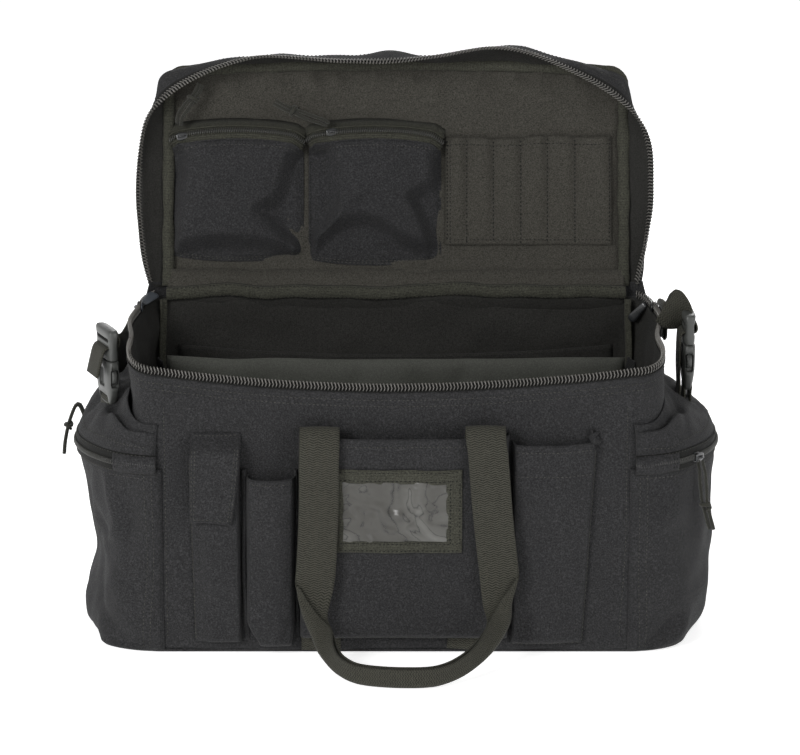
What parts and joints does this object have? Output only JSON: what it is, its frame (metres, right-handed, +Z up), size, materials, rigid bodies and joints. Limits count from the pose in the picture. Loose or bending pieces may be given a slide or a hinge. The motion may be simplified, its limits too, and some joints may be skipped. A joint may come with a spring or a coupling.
{
  "type": "flight bag",
  "caption": "Soft duffel-style gear bag with a zipped organiser lid standing open, lift-out divider, front and end pockets, webbing handles and a buckled shoulder strap.",
  "frame": {"origin": "centre of the flat underside, on the surface the bag stands on", "axes": "+Z up, -Y towards the front with the outside pockets, +X along the length to the right seen from the front"},
  "size_m": [0.6508, 0.5225, 0.5448],
  "materials": {
    "outer_cloth": "matte coated polyester canvas, dark charcoal",
    "lining_cloth": "matte plain-weave nylon, olive charcoal",
    "webbing": "ribbed nylon webbing, grey olive",
    "binding_tape": "ribbed grosgrain tape, grey olive",
    "zip": "coil zip on woven tape, bronze-grey coil",
    "slider_metal": "black enamelled die casting",
    "pull_cord": "braided nylon cord, grey olive",
    "buckle_plastic": "satin moulded acetal, dark grey",
    "board": "matte sheet",
    "hook_tape": "hook-and-loop tape, black",
    "clear_film": "clear flexible vinyl"
  },
  "bodies": {
    "bag": {"front_panel": "outer_cloth", "back_panel": "outer_cloth", "left_end_panel": "outer_cloth", "right_end_panel": "outer_cloth", "bottom_panel": "outer_cloth", "base_board": "board", "rim_zip": "zip", "hinge_binding": "binding_tape", "inner_pocket": "lining_cloth", "left_end_pocket": "outer_cloth", "right_end_pocket": "outer_cloth", "left_pocket_roof": "outer_cloth", "right_pocket_roof": "outer_cloth", "left_end_zip": "zip", "right_end_zip": "zip", "baton_pocket": "outer_cloth", "narrow_pocket": "outer_cloth", "centre_pocket": "outer_cloth", "card_frame": "outer_cloth", "card_film": "clear_film", "side_pocket": "outer_cloth", "front_handle_webbing": "webbing", "back_handle_webbing": "webbing", "strap_anchors": "webbing", "left_buckle_socket": "buckle_plastic", "right_buckle_socket": "buckle_plastic", "left_buckle_plug": "buckle_plastic", "right_buckle_plug": "buckle_plastic", "strap_ends": "webbing"},
    "lid": {"lid_panel": "outer_cloth", "lid_front_gusset": "outer_cloth", "lid_left_gusset": "outer_cloth", "lid_right_gusset": "outer_cloth", "lid_zip": "zip", "lid_binding": "binding_tape", "lid_pocket_left": "lining_cloth", "lid_pocket_middle": "lining_cloth", "lid_pocket_zips": "zip", "pen_organiser": "lining_cloth"},
    "left_lid_slider": {"left_lid_slider": "slider_metal", "left_lid_pull_cord": "pull_cord"},
    "middle_lid_slider": {"middle_lid_slider": "slider_metal", "middle_lid_pull_cord": "pull_cord"},
    "left_end_slider": {"left_end_slider": "slider_metal", "left_end_pull_cord": "pull_cord"},
    "right_end_slider": {"right_end_slider": "slider_metal", "right_end_pull_cord": "pull_cord"},
    "left_main_slider": {"left_main_slider": "slider_metal"},
    "right_main_slider": {"right_main_slider": "slider_metal"},
    "front_handle": {"front_handle": "webbing"},
    "back_handle": {"back_handle": "webbing"},
    "baton_flap": {"baton_flap": "outer_cloth"},
    "divider": {"divider_panel": "lining_cloth", "divider_tabs": "hook_tape"},
    "shoulder_strap": {"shoulder_strap": "webbing"},
    "left_latch_arm_front": {"left_latch_arm_front": "buckle_plastic"},
    "left_latch_arm_back": {"left_latch_arm_back": "buckle_plastic"},
    "right_latch_arm_front": {"right_latch_arm_front": "buckle_plastic"},
    "right_latch_arm_back": {"right_latch_arm_back": "buckle_plastic"}
  },
  "joints": [
    {"name": "lid_hinge", "type": "hinge", "parent": "bag", "child": "lid", "pos_m": [0, 0.118, 0.306], "axis": [-1, 0, 0], "range_deg": [-105, 0]},
    {"name": "front_handle_swing", "type": "hinge", "parent": "bag", "child": "front_handle", "pos_m": [0, -0.142, 0.217], "axis": [-1, 0, 0], "range_deg": [0, 160]},
    {"name": "back_handle_swing", "type": "hinge", "parent": "bag", "child": "back_handle", "pos_m": [0, 0.13, 0.217], "axis": [1, 0, 0], "range_deg": [0, 140]},
    {"name": "baton_flap_hinge", "type": "hinge", "parent": "bag", "child": "baton_flap", "pos_m": [-0.17, -0.119, 0.222], "axis": [-1, 0, 0], "range_deg": [0, 140]},
    {"name": "divider_lift", "type": "slide", "parent": "bag", "child": "divider", "axis": [0, 0, 1], "range_m": [0, 0.24]},
    {"name": "shoulder_strap_swing", "type": "hinge", "parent": "bag", "child": "shoulder_strap", "pos_m": [0.007, 0, 0.31325], "axis": [0.9959, 0.029, 0.086], "range_deg": [0, 36]},
    {"name": "right_end_zip_travel", "type": "hinge", "parent": "bag", "child": "right_end_slider", "pos_m": [0.165, 0, 0.187], "axis": [0, 0, 1], "range_deg": [0, 70]},
    {"name": "left_end_zip_travel", "type": "hinge", "parent": "bag", "child": "left_end_slider", "pos_m": [-0.165, 0, 0.187], "axis": [0, 0, 1], "range_deg": [0, 55]},
    {"name": "left_lid_zip_travel", "type": "slide", "parent": "lid", "child": "left_lid_slider", "axis": [1, 0, 0], "range_m": [0, 0.11]},
    {"name": "middle_lid_zip_travel", "type": "slide", "parent": "lid", "child": "middle_lid_slider", "axis": [1, 0, 0], "range_m": [0, 0.096]},
    {"name": "left_main_zip_travel", "type": "slide", "parent": "bag", "child": "left_main_slider", "axis": [0, -0.9977, -0.068], "range_m": [0, 0.15]},
    {"name": "right_main_zip_travel", "type": "slide", "parent": "bag", "child": "right_main_slider", "axis": [0, -0.9977, -0.068], "range_m": [0, 0.15]},
    {"name": "left_latch_back_pinch", "type": "hinge", "parent": "bag", "child": "left_latch_arm_back", "pos_m": [-0.28618, -0.0207, 0.276], "axis": [-0.9272, -0.3746, 0], "range_deg": [0, 7], "stiffness_Nm_per_rad": 0.05},
    {"name": "left_latch_front_pinch", "type": "hinge", "parent": "bag", "child": "left_latch_arm_front", "pos_m": [-0.27382, -0.0513, 0.276], "axis": [0.9272, 0.3746, 0], "range_deg": [0, 7], "stiffness_Nm_per_rad": 0.05},
    {"name": "right_latch_back_pinch", "type": "hinge", "parent": "bag", "child": "right_latch_arm_back", "pos_m": [0.286, 0.0125, 0.285], "axis": [-1, 0, 0], "range_deg": [0, 7], "stiffness_Nm_per_rad": 0.05},
    {"name": "right_latch_front_pinch", "type": "hinge", "parent": "bag", "child": "right_latch_arm_front", "pos_m": [0.286, -0.0205, 0.285], "axis": [1, 0, 0], "range_deg": [0, 7], "stiffness_Nm_per_rad": 0.05}
  ],
  "couplings": [
    {"joint": "left_latch_front_pinch", "follows": "left_latch_back_pinch", "ratio": 1},
    {"joint": "right_latch_front_pinch", "follows": "right_latch_back_pinch", "ratio": 1}
  ]
}
